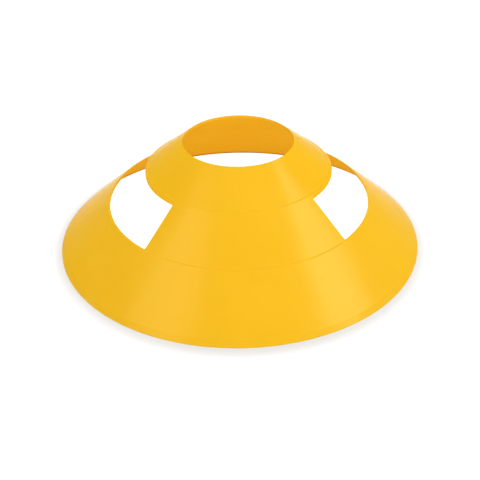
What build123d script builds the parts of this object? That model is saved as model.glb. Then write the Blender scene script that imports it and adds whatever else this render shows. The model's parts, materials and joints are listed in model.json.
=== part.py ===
from build123d import *
import math
import os

# Sports marker cone: one thin moulded shell, +Z up, origin on the ground below the hole.
# The shell is a stack of three cones with a narrow ledge between each pair, and two windows
# open the middle cone to the left and right. All sizes are in millimetres and degrees.

# Overall sizes
base_diameter = 200.0
overall_height = 60.35
hole_diameter = 59.6
wall = 1.0

# Steeper band round the foot
rim_width = 2.4
rim_height = 2.8
rim_edge_height = 0.25

# Ledges between the cones, given at the top edge of the lower cone
ledge_width = 0.5
skirt_top_diameter = 143.6
skirt_top_height = 25.7
collar_base_diameter = 98.8
collar_base_height = 45.0
ledge_round = 0.5

# Windows to the left and right, and the strips of the middle cone left below and above them.
# Seen from above, a window's side edges are straight, and those of one strut would meet
# a little in front of the axis.
window_angle = 81.2
strut_edges_meet = 5.5
window_sill = 0.3
window_headband = 1.2

# Radii worked out from the sizes above
base_radius = base_diameter / 2
hole_radius = hole_diameter / 2
rim_inner_radius = base_radius - rim_width
skirt_top_radius = skirt_top_diameter / 2
middle_foot_radius = skirt_top_radius - ledge_width
window_outer_radius = middle_foot_radius - window_sill
collar_base_radius = collar_base_diameter / 2
window_inner_radius = collar_base_radius + window_headband

# The mould opens straight up, so the wall is set along that direction
skirt_slope = math.atan2(skirt_top_height - rim_height, rim_inner_radius - skirt_top_radius)
upright_wall = wall / math.cos(skirt_slope)

# The rounding of a ledge never takes up more than the ledge has
ledge_fillet = min(ledge_round, ledge_width)

strut_angle = 180.0 - window_angle
front_azimuth = -90.0
rear_azimuth = 90.0


def outer_section():
    """Half section of the cone as if it were solid below its outer surface."""
    foot = (base_radius, 0, rim_edge_height)
    rim_top = (rim_inner_radius, 0, rim_height)
    skirt_top = (skirt_top_radius, 0, skirt_top_height)
    middle_foot = (middle_foot_radius, 0, skirt_top_height)
    collar_foot = (collar_base_radius, 0, collar_base_height)
    collar_ledge = (collar_base_radius - ledge_width, 0, collar_base_height)
    hole_edge = (hole_radius, 0, overall_height)
    surface = FilletPolyline(
        foot,
        rim_top,
        skirt_top,
        middle_foot,
        collar_foot,
        collar_ledge,
        hole_edge,
        radius=ledge_fillet,
    )
    ground_and_axis_side = Polyline(hole_edge, (hole_radius, 0, 0), (base_radius, 0, 0), foot)
    return make_face([*surface.edges(), *ground_and_axis_side.edges()])


def shell_section():
    """Half section of the moulded wall: the outer section less itself moved down."""
    solid_section = outer_section()
    return solid_section - Pos(0, 0, -upright_wall) * solid_section


def ring_of_wall(inner_radius, outer_radius):
    """The part of the wall's section between two upright cuts."""
    mid_radius = (inner_radius + outer_radius) / 2
    cut_height = 2 * overall_height
    strip = Rectangle(outer_radius - inner_radius, cut_height)
    return shell_section() & Pos(mid_radius, 0, 0) * Rot(90, 0, 0) * strip


def strut(azimuth):
    """A panel of the middle cone between the windows, centred on the given azimuth."""
    ring = revolve(ring_of_wall(window_inner_radius, window_outer_radius), Axis.Z)
    far_side = base_diameter
    half_span = far_side * math.tan(math.radians(strut_angle / 2))
    plan = make_face(Polyline((0, 0), (far_side, -half_span), (far_side, half_span), close=True))
    wedge = extrude(Pos(strut_edges_meet, 0, 0) * plan, overall_height)
    return ring & Rot(0, 0, azimuth) * wedge


nodes = {
    "ground_rim": revolve(ring_of_wall(rim_inner_radius, base_radius), Axis.Z),
    "skirt": revolve(ring_of_wall(window_outer_radius, rim_inner_radius), Axis.Z),
    "front_strut": strut(front_azimuth),
    "rear_strut": strut(rear_azimuth),
    "top_collar": revolve(ring_of_wall(hole_radius, window_inner_radius), Axis.Z),
}

os.makedirs("parts", exist_ok=True)
for node_name, solid in nodes.items():
    export_step(solid, f"parts/{node_name}.step")
    print(node_name, round(solid.volume), "mm3")
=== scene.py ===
# %% [markdown]
# # A moulded sports marker cone
# The object is a low saucer cone that a coach drops on a pitch to mark a line or a corner. It is one thin
# shell of soft yellow polyethylene, with a round hole in the top and a wide window on each side. This lesson
# builds its looks in Blender around a frame that already holds the real sizes.

# %% Load the frame
import json
import math

import bmesh
import bpy
from mathutils import Matrix, Vector


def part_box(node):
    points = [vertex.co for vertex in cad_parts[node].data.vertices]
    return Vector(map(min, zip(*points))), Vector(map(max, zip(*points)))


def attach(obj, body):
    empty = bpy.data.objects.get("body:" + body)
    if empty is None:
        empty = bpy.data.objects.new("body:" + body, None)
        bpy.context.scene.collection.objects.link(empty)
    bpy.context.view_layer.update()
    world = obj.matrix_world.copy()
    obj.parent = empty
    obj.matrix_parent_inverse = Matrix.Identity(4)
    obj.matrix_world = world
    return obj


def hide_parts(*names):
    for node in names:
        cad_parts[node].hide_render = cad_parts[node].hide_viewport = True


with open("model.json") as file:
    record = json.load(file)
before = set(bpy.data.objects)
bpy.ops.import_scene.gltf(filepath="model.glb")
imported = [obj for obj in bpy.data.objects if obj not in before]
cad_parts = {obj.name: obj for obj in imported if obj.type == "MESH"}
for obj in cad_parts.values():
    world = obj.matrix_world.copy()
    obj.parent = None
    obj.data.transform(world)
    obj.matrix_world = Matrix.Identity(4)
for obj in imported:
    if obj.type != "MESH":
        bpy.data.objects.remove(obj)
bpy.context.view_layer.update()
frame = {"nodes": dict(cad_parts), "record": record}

scene = bpy.context.scene
print("frame nodes:", sorted(frame["nodes"]))

# %% [markdown]
# ## Sizes
# Blender works in metres, and the cone is drawn in millimetres, so every size is multiplied by MM. The outside
# sizes are read from the frame's nodes, and the hole from its mount. The few that they can't tell, such as where
# a ledge begins, are written here as the real sizes of the moulding.

# %% Read the sizes of the cone
MM = 0.001
rim_low, rim_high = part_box("ground_rim")
skirt_low, skirt_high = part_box("skirt")
collar_low, collar_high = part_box("top_collar")
strut_low, strut_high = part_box("rear_strut")
centre_hole = next(mount for mount in frame["record"]["mounts"] if mount["name"] == "centre_hole")

base_radius = rim_high[0]
rim_inner_radius = skirt_high[0]
window_head_radius = collar_high[0]
overall_height = collar_high[2]
hole_radius = centre_hole["dims"]["r_mm"] * MM
rim_height = 2.8 * MM
rim_edge_height = 0.25 * MM
skirt_top_radius = 71.8 * MM
skirt_top_height = 25.7 * MM
ledge_width = 0.5 * MM
collar_base_radius = 49.4 * MM
collar_base_height = 45.0 * MM
window_sill = 0.3 * MM
wall = 1.0 * MM

middle_foot_radius = skirt_top_radius - ledge_width
window_sill_radius = middle_foot_radius - window_sill
collar_ledge_radius = collar_base_radius - ledge_width
print("foot radius mm:", round(base_radius / MM, 2), "height mm:", round(overall_height / MM, 2))

# %% [markdown]
# ## The camera
# A product photo like this is taken with a short telephoto lens, from a little above. The camera stands just
# left of the front strut, which is why the strut looks turned to the right, and it is tilted by less than a
# degree. A matrix made of three turns is the plainest way to say that: round the upright, down, and a roll.

# %% Place the camera
camera_distance = 520.0 * MM
camera_azimuth = math.radians(3.35)
camera_elevation = math.radians(33.4)
camera_roll = math.radians(-0.894)
aim_point = Vector((0.18 * MM, 0.0, -3.88 * MM))
sensor_width_mm = 36.0
focal_length_mm = 68.11

camera_data = bpy.data.cameras.new("camera")
camera_data.sensor_width = sensor_width_mm
camera_data.lens = focal_length_mm
camera = bpy.data.objects.new("camera", camera_data)
scene.collection.objects.link(camera)
turn = Matrix.Rotation(-camera_azimuth, 4, "Z") @ Matrix.Rotation(math.pi / 2 - camera_elevation, 4, "X")
roll = Matrix.Rotation(camera_roll, 4, "Z")
back_off = turn @ Vector((0.0, 0.0, camera_distance))
camera.matrix_world = Matrix.Translation(aim_point + back_off) @ turn @ roll
scene.camera = camera
print("camera stands at", [round(c, 3) for c in camera.matrix_world.translation])

# %% [markdown]
# ## The outline of the shell
# The outer surface is three cones, one above the other, with a narrow ledge where each cone meets the next. Half
# of that outline, drawn once as a chain of edges, is enough: a spin makes the rest. The corners are rounded
# while they are still single points, because a vertex bevel on a chain is quick and clean. Its offset is not
# the radius but the length of edge that each side gives up, so that is worked out from the turn at the ledge.

# %% Draw and round the half outline
crease_round = 0.5 * MM
crease_steps = 4
middle_slope = math.atan2(collar_base_height - skirt_top_height, middle_foot_radius - collar_base_radius)
crease_reach = crease_round * math.tan(middle_slope / 2)

outline = [
    (base_radius, -2 * wall),
    (base_radius, rim_edge_height),
    (rim_inner_radius, rim_height),
    (skirt_top_radius, skirt_top_height),
    (middle_foot_radius, skirt_top_height),
    (collar_base_radius, collar_base_height),
    (collar_ledge_radius, collar_base_height),
    (hole_radius, overall_height),
]
first_crease, last_crease = 2, 6

shell = bmesh.new()
chain = [shell.verts.new((radius, 0.0, height)) for radius, height in outline]
for low, high in zip(chain, chain[1:]):
    shell.edges.new((low, high))
bmesh.ops.bevel(shell, geom=chain[first_crease:last_crease + 1], offset=crease_reach, offset_type="OFFSET",
                segments=crease_steps, profile=0.5, affect="VERTICES", material=-1)
print("outline points after rounding:", len(shell.verts))

# %% [markdown]
# ## Spinning the shell
# The windows will be opened by deleting faces, so the chain first needs a point at the height of their lower
# edge and one at their upper edge. Two level cuts add them. The spin starts at 45 degrees, between a strut and
# a window, so that each quarter turn ends on a window edge as well.

# %% Spin the outline
spin_start = math.radians(45.0)
spin_steps = 240

for cut_radius in (window_sill_radius, window_head_radius):
    cut_height = skirt_top_height + (middle_foot_radius - cut_radius) * math.tan(middle_slope)
    bmesh.ops.bisect_plane(shell, geom=shell.verts[:] + shell.edges[:], plane_co=(0.0, 0.0, cut_height),
                           plane_no=(0.0, 0.0, 1.0))
bmesh.ops.rotate(shell, verts=shell.verts, matrix=Matrix.Rotation(spin_start, 3, "Z"))
bmesh.ops.spin(shell, geom=shell.verts[:] + shell.edges[:], cent=(0, 0, 0), axis=(0, 0, 1),
               angle=2 * math.pi, steps=spin_steps, use_merge=True, use_duplicate=False)
bmesh.ops.remove_doubles(shell, verts=shell.verts, dist=0.001 * MM)
bmesh.ops.recalc_face_normals(shell, faces=shell.faces)
print("faces of the outer surface:", len(shell.faces))

# %% [markdown]
# ## Opening the windows
# A window is opened by deleting whole faces, which leaves its side edges at 45 degrees. On the real cone they
# run straight when seen from above, and spread the struts a little towards the foot. So the points near an edge
# are slid along their own circle, the most at the edge itself, and the cone stays exactly round.

# %% Open the windows
slide_reach = math.radians(7.0)
quarter_turn = math.pi / 2
strut_foot_half_width = strut_high[0]
strut_foot_depth = math.sqrt(window_sill_radius**2 - strut_foot_half_width**2)
strut_head_depth = strut_low[1]
strut_head_half_width = math.sqrt(window_head_radius**2 - strut_head_depth**2)
edge_turn = math.atan2(strut_foot_half_width - strut_head_half_width, strut_foot_depth - strut_head_depth)
edge_meet = strut_head_depth - strut_head_half_width / math.tan(edge_turn)


def in_window(face):
    """True for a face of the middle cone that looks out to the left or right."""
    centre = face.calc_center_median()
    radius = math.hypot(centre.x, centre.y)
    sideways = abs(centre.x) > abs(centre.y)
    return sideways and window_head_radius < radius < window_sill_radius


def strut_half_angle(radius):
    """Angle from the middle of a strut to its straight edge, seen from the axis, at a radius."""
    radius = min(max(radius, window_head_radius), window_sill_radius)
    return edge_turn - math.asin(edge_meet * math.sin(edge_turn) / radius)


window_faces = [face for face in shell.faces if in_window(face)]
for vert in shell.verts:
    azimuth = math.atan2(vert.co.y, vert.co.x)
    quarter = math.floor(azimuth / quarter_turn)
    from_edge = abs(azimuth - quarter * quarter_turn - spin_start)
    towards_window = -1.0 if quarter % 2 == 0 else 1.0
    share = max(0.0, 1.0 - from_edge / slide_reach)
    slide = share * (strut_half_angle(math.hypot(vert.co.x, vert.co.y)) - spin_start)
    vert.co = Matrix.Rotation(towards_window * slide, 3, "Z") @ vert.co
bmesh.ops.delete(shell, geom=window_faces, context="FACES")
edge_angles = [math.degrees(strut_half_angle(r)) for r in (window_head_radius, window_sill_radius)]
print("strut half angle, head and foot:", [round(angle, 2) for angle in edge_angles])

# %% [markdown]
# ## Giving the shell its wall
# The mould opens straight up, so every cut edge of the windows and the hole stands upright. The wall follows
# the same rule: the surface is extruded straight down, and what falls below the ground is cut away, which
# leaves the narrow flat ring that the cone stands on. A solidify would tilt those cut edges.

# %% Extrude the wall
inside_finish = 1
skirt_slope = math.atan2(skirt_top_height - rim_height, rim_inner_radius - skirt_top_radius)
upright_wall = wall / math.cos(skirt_slope)

extruded = bmesh.ops.extrude_face_region(shell, geom=shell.faces[:], use_keep_orig=True)
lowered = [item for item in extruded["geom"] if isinstance(item, bmesh.types.BMVert)]
bmesh.ops.translate(shell, verts=lowered, vec=(0.0, 0.0, -upright_wall))
for item in extruded["geom"]:
    if isinstance(item, bmesh.types.BMFace):
        item.material_index = inside_finish
cut = bmesh.ops.bisect_plane(shell, geom=shell.verts[:] + shell.edges[:] + shell.faces[:], plane_co=(0, 0, 0),
                             plane_no=(0, 0, 1), clear_inner=True)
ground_edges = [item for item in cut["geom_cut"] if isinstance(item, bmesh.types.BMEdge)]
bmesh.ops.bridge_loops(shell, edges=ground_edges)
bmesh.ops.recalc_face_normals(shell, faces=shell.faces)
print("wall along the mould's way mm:", round(upright_wall / MM, 2))

# %% [markdown]
# ## Rounding the cut edges
# No edge of a moulding is sharp. The upright corners of the windows are bevelled first, because they are the
# rounder ones, and then every edge round the windows and the hole gets a fine rounding that catches the light.

# %% Round the window corners and the edges
corner_round = 0.6 * MM
edge_round = 0.12 * MM
sharp_angle = math.radians(35.0)
foot_zone = 1.0 * MM


def sharp_edges():
    """The edges above the foot where two faces meet at a clear angle."""
    return [edge for edge in shell.edges if edge.is_manifold and edge.calc_face_angle() > sharp_angle
            and min(v.co.z for v in edge.verts) > foot_zone]


def stands_upright(edge):
    """True for an edge that runs straight up."""
    low, high = (v.co for v in edge.verts)
    return math.hypot(high.x - low.x, high.y - low.y) < 0.01 * MM


window_corners = [edge for edge in sharp_edges() if stands_upright(edge)]
bmesh.ops.bevel(shell, geom=window_corners, offset=corner_round, offset_type="OFFSET", segments=5, profile=0.5,
                affect="EDGES", clamp_overlap=True, material=-1)
bmesh.ops.bevel(shell, geom=sharp_edges(), offset=edge_round, offset_type="OFFSET", segments=3, profile=0.5,
                affect="EDGES", clamp_overlap=True, material=-1)
for face in shell.faces:
    face.smooth = True
for edge in shell.edges:
    edge.smooth = edge.is_manifold and edge.calc_face_angle() < sharp_angle
open_edges = sum(not edge.is_manifold for edge in shell.edges)
print("window corners:", len(window_corners), "faces of the shell:", len(shell.faces), "open edges:", open_edges)
print("volume of the shell cm3:", round(shell.calc_volume(signed=True) * 1e6, 2))

# %% [markdown]
# ## Turning the mesh into the piece
# One object stands for all five regions of the frame, because the real cone is one moulding with no seams.
# A weighted normal keeps the large cone faces evenly shaded right up to the narrow rounded edges.

# %% Make the cone object
cone_mesh = bpy.data.meshes.new("moulded_cone")
shell.to_mesh(cone_mesh)
shell.free()
cone = bpy.data.objects.new("moulded_cone", cone_mesh)
scene.collection.objects.link(cone)
even_shading = cone.modifiers.new("even_shading", "WEIGHTED_NORMAL")
even_shading.keep_sharp = True

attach(cone, "root")
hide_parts("ground_rim", "skirt", "front_strut", "rear_strut", "top_collar")
print("cone triangles:", sum(len(p.vertices) - 2 for p in cone_mesh.polygons))

# %% [markdown]
# ## Colours and nodes
# Paint charts and photos give colours as sRGB hex values, while Blender's sockets want linear light. One
# function turns the one into the other. Another adds a node, sets its inputs and links it in one line.

# %% Helpers for materials


def linear(hex_colour):
    """Linear RGBA of an sRGB hex colour."""
    channels = [int(hex_colour[i:i + 2], 16) / 255 for i in (1, 3, 5)]
    return [c / 12.92 if c <= 0.04045 else ((c + 0.055) / 1.055) ** 2.4 for c in channels] + [1.0]


def add_node(tree, kind, inputs=None, **settings):
    """Adds a node. A list or number in inputs sets a socket, and a socket in inputs is linked to it."""
    node = tree.nodes.new(kind)
    for name, value in settings.items():
        setattr(node, name, value)
    for name, value in (inputs or {}).items():
        if isinstance(value, bpy.types.NodeSocket):
            tree.links.new(value, node.inputs[name])
        else:
            node.inputs[name].default_value = value
    return node


def new_tree(name):
    """A material with an empty node tree, and that tree."""
    material = bpy.data.materials.new(name)
    material.use_nodes = True
    material.node_tree.nodes.clear()
    return material, material.node_tree


print("yellow in linear light:", [round(c, 3) for c in linear("#F4BC20")])

# %% [markdown]
# ## Low-density polyethylene, injection moulded
# The plastic is soft, waxy and slightly see-through, coloured all the way through. The steel of the mould was
# left satin, so the skin has a very fine grain and soft, broad highlights. The real grain is too fine to show
# here, so it is drawn about half a millimetre wide. The pigment also mixes a little unevenly as it flows, which
# shows as faint clouds a few centimetres wide. Seen at a slant, the grain hides the gloss behind itself, so a
# layer weight takes the gloss away there and the sides keep their deep yellow. The inside was drawn off a rougher
# core and is matte.

# %% Make the yellow polyethylene
cloud_size = 35.0 * MM
cloud_low, cloud_high = 0.3, 0.7
grain_size = 0.45 * MM
grain_depth = 0.004 * MM
light_reach = 1.0 * MM
gloss_fades_from, gloss_gone_at = 0.15, 0.42
slant_gloss = 0.02


def moulded_polyethylene(name, smoothest, roughest, full_gloss):
    """The cone's plastic, with a range of roughness and a gloss for the finish of one half of the mould."""
    material, tree = new_tree(name)
    place = add_node(tree, "ShaderNodeTexCoord").outputs["Object"]
    clouds = add_node(tree, "ShaderNodeTexNoise", {"Vector": place, "Scale": 1 / cloud_size, "Detail": 3.0})
    pigment = add_node(tree, "ShaderNodeValToRGB", {"Fac": clouds.outputs["Fac"]})
    pigment.color_ramp.elements[0].position = cloud_low
    pigment.color_ramp.elements[0].color = linear("#F4BC20")
    pigment.color_ramp.elements[1].position = cloud_high
    pigment.color_ramp.elements[1].color = linear("#F6BF26")
    satin = add_node(tree, "ShaderNodeMapRange", {
        "Value": clouds.outputs["Fac"], "From Min": cloud_low, "From Max": cloud_high,
        "To Min": smoothest, "To Max": roughest})
    grain = add_node(tree, "ShaderNodeTexNoise", {"Vector": place, "Scale": 1 / grain_size, "Detail": 2.0})
    relief = add_node(tree, "ShaderNodeBump", {"Height": grain.outputs["Fac"], "Distance": grain_depth})
    tilt = add_node(tree, "ShaderNodeLayerWeight", {"Blend": 0.5})
    gloss = add_node(tree, "ShaderNodeMapRange", {
        "Value": tilt.outputs["Facing"], "From Min": gloss_fades_from, "From Max": gloss_gone_at,
        "To Min": full_gloss, "To Max": slant_gloss * full_gloss})
    skin = add_node(tree, "ShaderNodeBsdfPrincipled", {
        "Base Color": pigment.outputs["Color"],
        "Roughness": satin.outputs["Result"],
        "Normal": relief.outputs["Normal"],
        "IOR": 1.51,
        "Specular IOR Level": gloss.outputs["Result"],
        "Specular Tint": linear("#FFF9B2"),
        "Subsurface Weight": 0.15,
        "Subsurface Radius": (1.0, 0.5, 0.1),
        "Subsurface Scale": light_reach,
    })
    add_node(tree, "ShaderNodeOutputMaterial", {"Surface": skin.outputs["BSDF"]})
    return material


satin_outside = moulded_polyethylene("satin_yellow_polyethylene", smoothest=0.2, roughest=0.24, full_gloss=0.5)
matte_inside = moulded_polyethylene("matte_yellow_polyethylene", smoothest=0.7, roughest=0.8, full_gloss=0.45)
cone_mesh.materials.append(satin_outside)
cone_mesh.materials.append(matte_inside)
print("cone materials:", [m.name for m in cone_mesh.materials])

# %% [markdown]
# ## The table top
# The cone stands on a seamless white sheet. A floor that is only painted white would come out a little grey, so
# it also glows, but only for the camera and in reflections. The glow is turned down near the foot, which paints a
# soft contact shadow there on top of the real one, and the middle of that painted shadow lies a little towards
# the viewer, because the light comes over from behind. Under the cone the sheet glows full white, as bright as
# white
# paper can be: a painted glow for the light table, whose light on the cone comes from a lamp. Seen from below,
# the sheet is clear, so the inside of the cone can be looked at as well.

# %% Lay the floor
floor_size = 1.0
floor_glow = 0.5
contact_glow = 0.16
contact_width = 13.0 * MM
contact_shift = 3.0 * MM

floor_shape = bmesh.new()
bmesh.ops.create_grid(floor_shape, x_segments=1, y_segments=1, size=floor_size / 2)
floor_mesh = bpy.data.meshes.new("floor")
floor_shape.to_mesh(floor_mesh)
floor_shape.free()
floor = bpy.data.objects.new("floor", floor_mesh)
scene.collection.objects.link(floor)

paper, tree = new_tree("white_paper_sheet")
place = add_node(tree, "ShaderNodeTexCoord").outputs["Object"]
from_axis = add_node(tree, "ShaderNodeVectorMath", {0: place}, operation="LENGTH")
from_shadow = add_node(tree, "ShaderNodeVectorMath", {0: place, 1: (0.0, -contact_shift, 0.0)},
                       operation="DISTANCE")
# The glow is turned down near the foot: this paints a soft contact shadow over the real one.
shadow_start = base_radius - contact_shift
glow_with_painted_shadow = add_node(tree, "ShaderNodeMapRange", {
    "Value": from_shadow.outputs["Value"], "From Min": shadow_start, "From Max": shadow_start + contact_width,
    "To Min": contact_glow, "To Max": floor_glow}, interpolation_type="SMOOTHSTEP")
# Under the cone the glow is full white: a painted glow that stands for the light table's face.
below = add_node(tree, "ShaderNodeMath", {0: from_axis.outputs["Value"], 1: base_radius - wall / 2},
                 operation="LESS_THAN")
glow = add_node(tree, "ShaderNodeMath", {0: glow_with_painted_shadow.outputs["Result"], 1: below.outputs[0]}, operation="MAXIMUM")
rays = add_node(tree, "ShaderNodeLightPath")
seen = add_node(tree, "ShaderNodeMath", {0: rays.outputs["Is Camera Ray"], 1: rays.outputs["Is Glossy Ray"]},
                operation="MAXIMUM")
seen_through = add_node(tree, "ShaderNodeMath", {0: seen.outputs[0], 1: rays.outputs["Is Transmission Ray"]},
                        operation="MAXIMUM")
shown_glow = add_node(tree, "ShaderNodeMath", {0: seen_through.outputs[0], 1: glow.outputs[0]},
                      operation="MULTIPLY")
sheet = add_node(tree, "ShaderNodeBsdfPrincipled", {
    "Base Color": linear("#D6D6D6"),
    "Roughness": 1.0,
    "Specular IOR Level": 0.0,
    "Emission Color": linear("#FFFFFF"),
    "Emission Strength": shown_glow.outputs[0],
})
from_below = add_node(tree, "ShaderNodeNewGeometry").outputs["Backfacing"]
clear = add_node(tree, "ShaderNodeBsdfTransparent")
one_way = add_node(tree, "ShaderNodeMixShader", {
    0: from_below, 1: sheet.outputs["BSDF"], 2: clear.outputs["BSDF"]})
add_node(tree, "ShaderNodeOutputMaterial", {"Surface": one_way.outputs["Shader"]})
floor_mesh.materials.append(paper)
print("floor size m:", floor_size)

# %% [markdown]
# ## Studio light
# Two softboxes stand to the left and right, and their reflections are the two pale bands that run up the cone.
# The rest only fills: low from the front, from overhead and from behind. A photographer puts a polarising filter
# on such lamps so that they aren't mirrored in the ledges, and here they are hidden from glossy rays. An area
# light's power is worked out from how bright its face should look, so a change of its size keeps its look.

# %% Set up the softboxes


def lamp(name, shape, width, height, brightness, area, pose, mirrored):
    """An area light whose face looks as bright as the number says, where 1 is white paper in full light."""
    data = bpy.data.lights.new(name, "AREA")
    data.shape = shape
    data.size = width
    data.size_y = height
    data.energy = brightness * math.pi * area
    obj = bpy.data.objects.new(name, data)
    obj.matrix_world = pose
    obj.visible_glossy = mirrored
    scene.collection.objects.link(obj)


def softbox(name, azimuth, elevation, distance, width, height, brightness, roll=0, mirrored=False):
    """A softbox that faces the cone. Azimuth 0 is towards the viewer, and positive is to the right."""
    aim = Matrix.Rotation(math.radians(azimuth), 4, "Z") @ Matrix.Rotation(math.radians(90 - elevation), 4, "X")
    pose = aim @ Matrix.Translation((0.0, 0.0, distance)) @ Matrix.Rotation(math.radians(roll), 4, "Z")
    lamp(name, "RECTANGLE", width, height, brightness, width * height, pose, mirrored)


softbox("right_softbox", azimuth=77, elevation=41, distance=1.2, width=0.68, height=0.43, brightness=2.85,
        roll=14, mirrored=True)
softbox("left_softbox", azimuth=-62, elevation=45.5, distance=1.2, width=0.64, height=0.54, brightness=1.25,
        mirrored=True)
softbox("front_left_light", azimuth=-22, elevation=15, distance=1.5, width=1.6, height=0.85, brightness=1.12)
softbox("front_right_light", azimuth=22, elevation=15, distance=1.5, width=1.6, height=0.85, brightness=1.6)
softbox("overhead_light", azimuth=180, elevation=75, distance=1.5, width=1.6, height=1.5, brightness=2.13)
softbox("back_light", azimuth=180, elevation=30, distance=1.5, width=1.6, height=0.6, brightness=1.2)

# %% [markdown]
# ## Light from the table and the room
# The inside of the cone is nearly as bright as the outside, because the light table shines up into it. A round
# lamp flat on the table does that. A low white screen stands all round the set, so the horizon is white from
# every side, and above it the room is dim. The world is told which is which by the upward part of a direction.

# %% Light the table and the room
table_radius = 97.0 * MM
table_gap = 0.5 * MM
table_brightness = 0.43
room_brightness = 0.04
screen_top = math.sin(math.radians(15.0))
screen_fade = math.sin(math.radians(22.0))

facing_up = Matrix.Translation((0.0, 0.0, table_gap)) @ Matrix.Rotation(math.pi, 4, "X")
table_width = 2 * table_radius
table_area = math.pi * table_radius**2
lamp("table_light", "DISK", table_width, table_width, table_brightness, table_area, facing_up, mirrored=False)

world = bpy.data.worlds.new("white_room")
world.use_nodes = True
world.node_tree.nodes.clear()
scene.world = world
direction = add_node(world.node_tree, "ShaderNodeTexCoord")
upward = add_node(world.node_tree, "ShaderNodeSeparateXYZ", {0: direction.outputs["Generated"]})
brightness = add_node(world.node_tree, "ShaderNodeMapRange", {
    "Value": upward.outputs["Z"], "From Min": screen_top, "From Max": screen_fade, "To Min": 1.0,
    "To Max": room_brightness})
backdrop = add_node(world.node_tree, "ShaderNodeBackground", {
    "Color": linear("#FFFFFF"), "Strength": brightness.outputs["Result"]})
add_node(world.node_tree, "ShaderNodeOutputWorld", {"Surface": backdrop.outputs["Background"]})
scene.view_settings.view_transform = "Standard"
